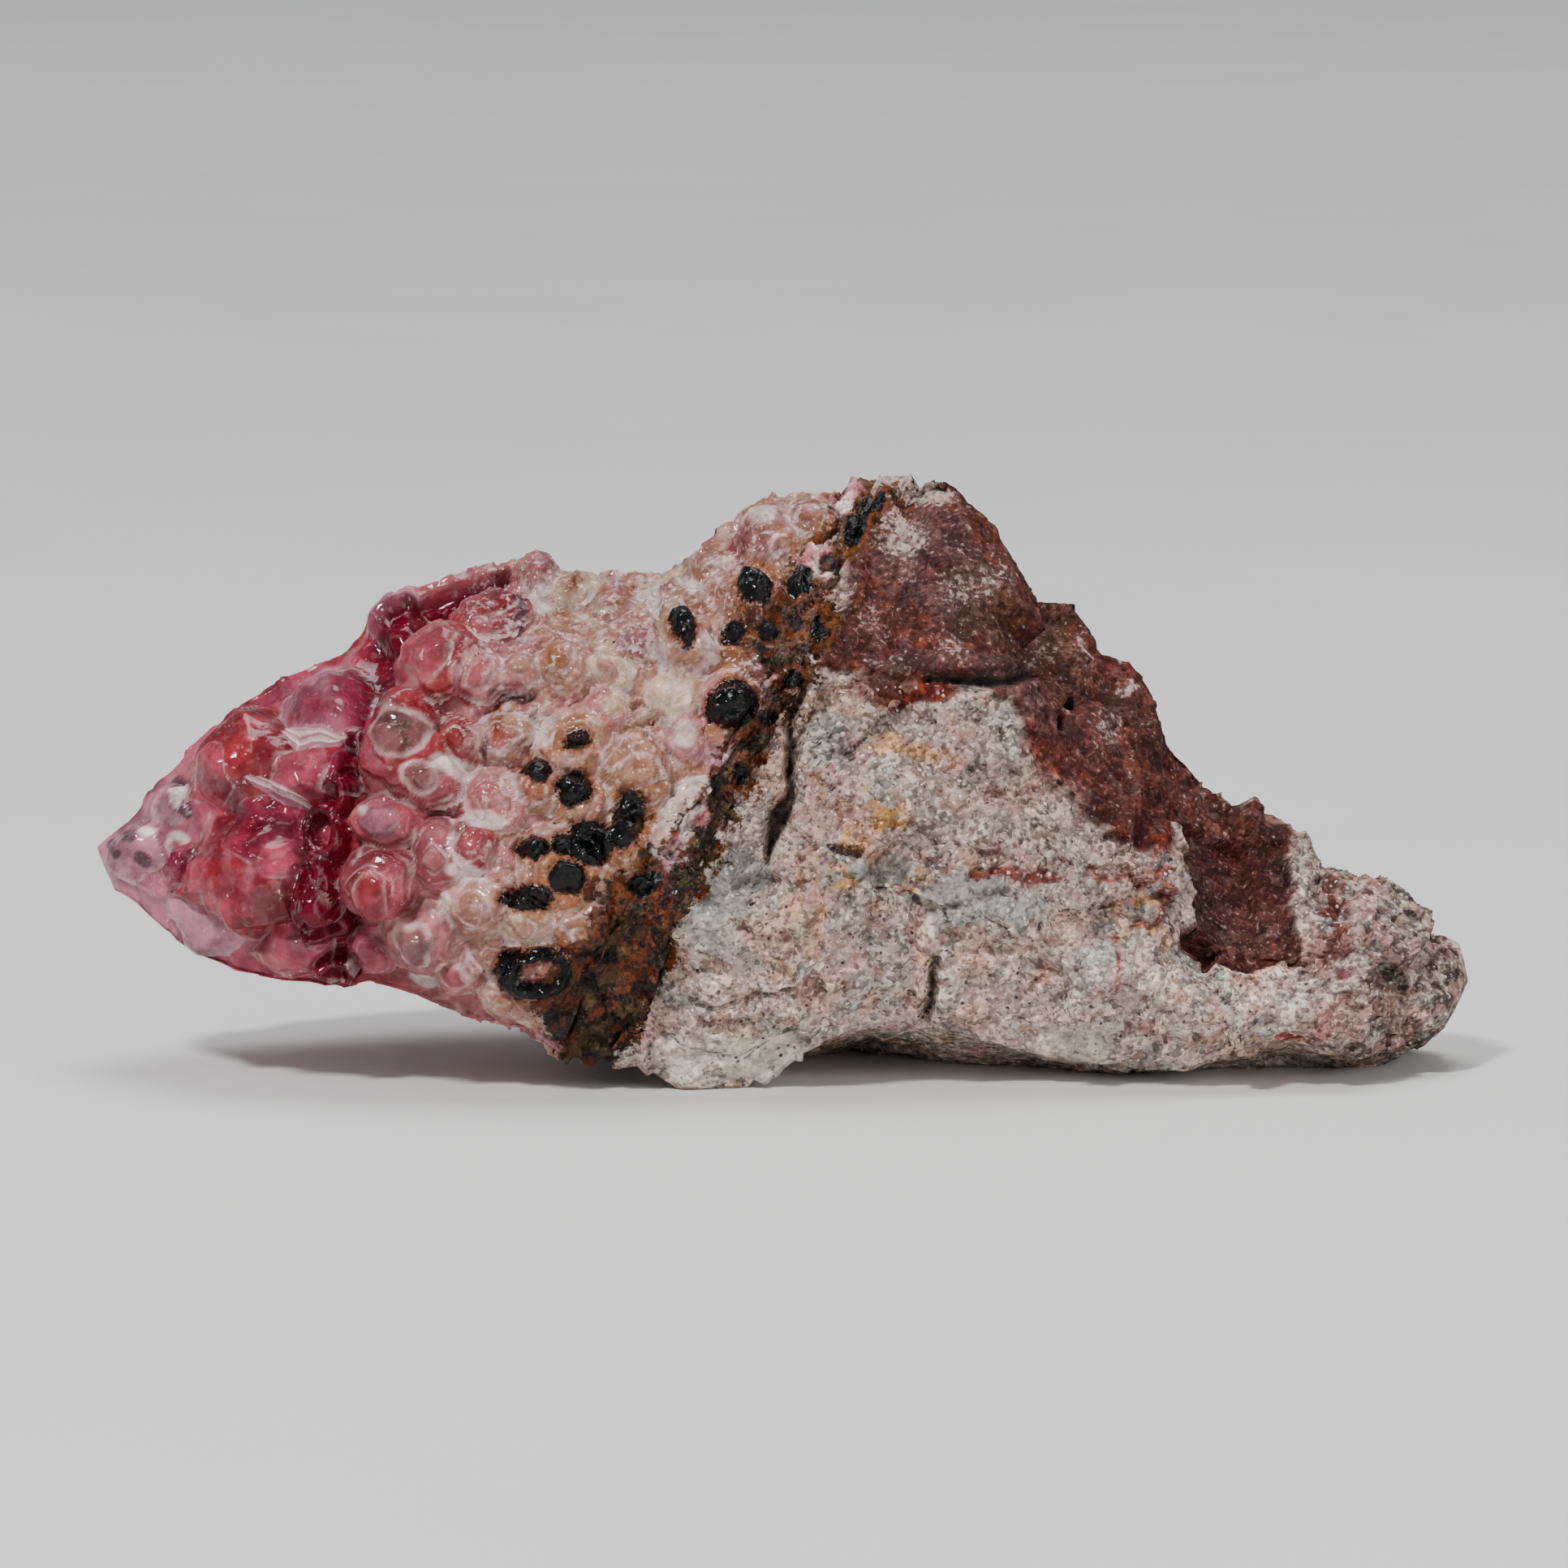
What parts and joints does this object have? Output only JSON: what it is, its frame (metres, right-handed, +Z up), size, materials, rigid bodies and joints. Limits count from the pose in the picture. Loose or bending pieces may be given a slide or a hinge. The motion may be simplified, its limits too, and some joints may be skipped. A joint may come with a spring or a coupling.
{
  "type": "cobaltoan calcite druse",
  "caption": "Loose cabinet specimen of pink and crimson calcite nodules and rhombohedral crystals on grey host rock, parted by a dark oxide seam.",
  "frame": {"origin": "middle of the footprint, on the surface that the flat underside rests on", "axes": "+Z up as the specimen rests, +X from the pointed calcite tip to the rock's tail, -Y out of the broken face that shows the banded nodules"},
  "size_m": [0.1, 0.0362, 0.0427],
  "materials": {
    "cobaltoan_calcite": "glassy and slightly translucent, crimson at the tip, pale pink with tan banding towards the rock",
    "iron_cobalt_oxide": "rough brown-black oxide with rust flecks and glossy black-green nuggets",
    "grey_host_rock": "matte, sugary grey-beige broken rock with a brown-red weathered upper slope"
  },
  "bodies": {
    "root": {"calcite_crust": "cobaltoan_calcite", "oxide_seam": "iron_cobalt_oxide", "host_rock": "grey_host_rock"}
  },
  "joints": []
}
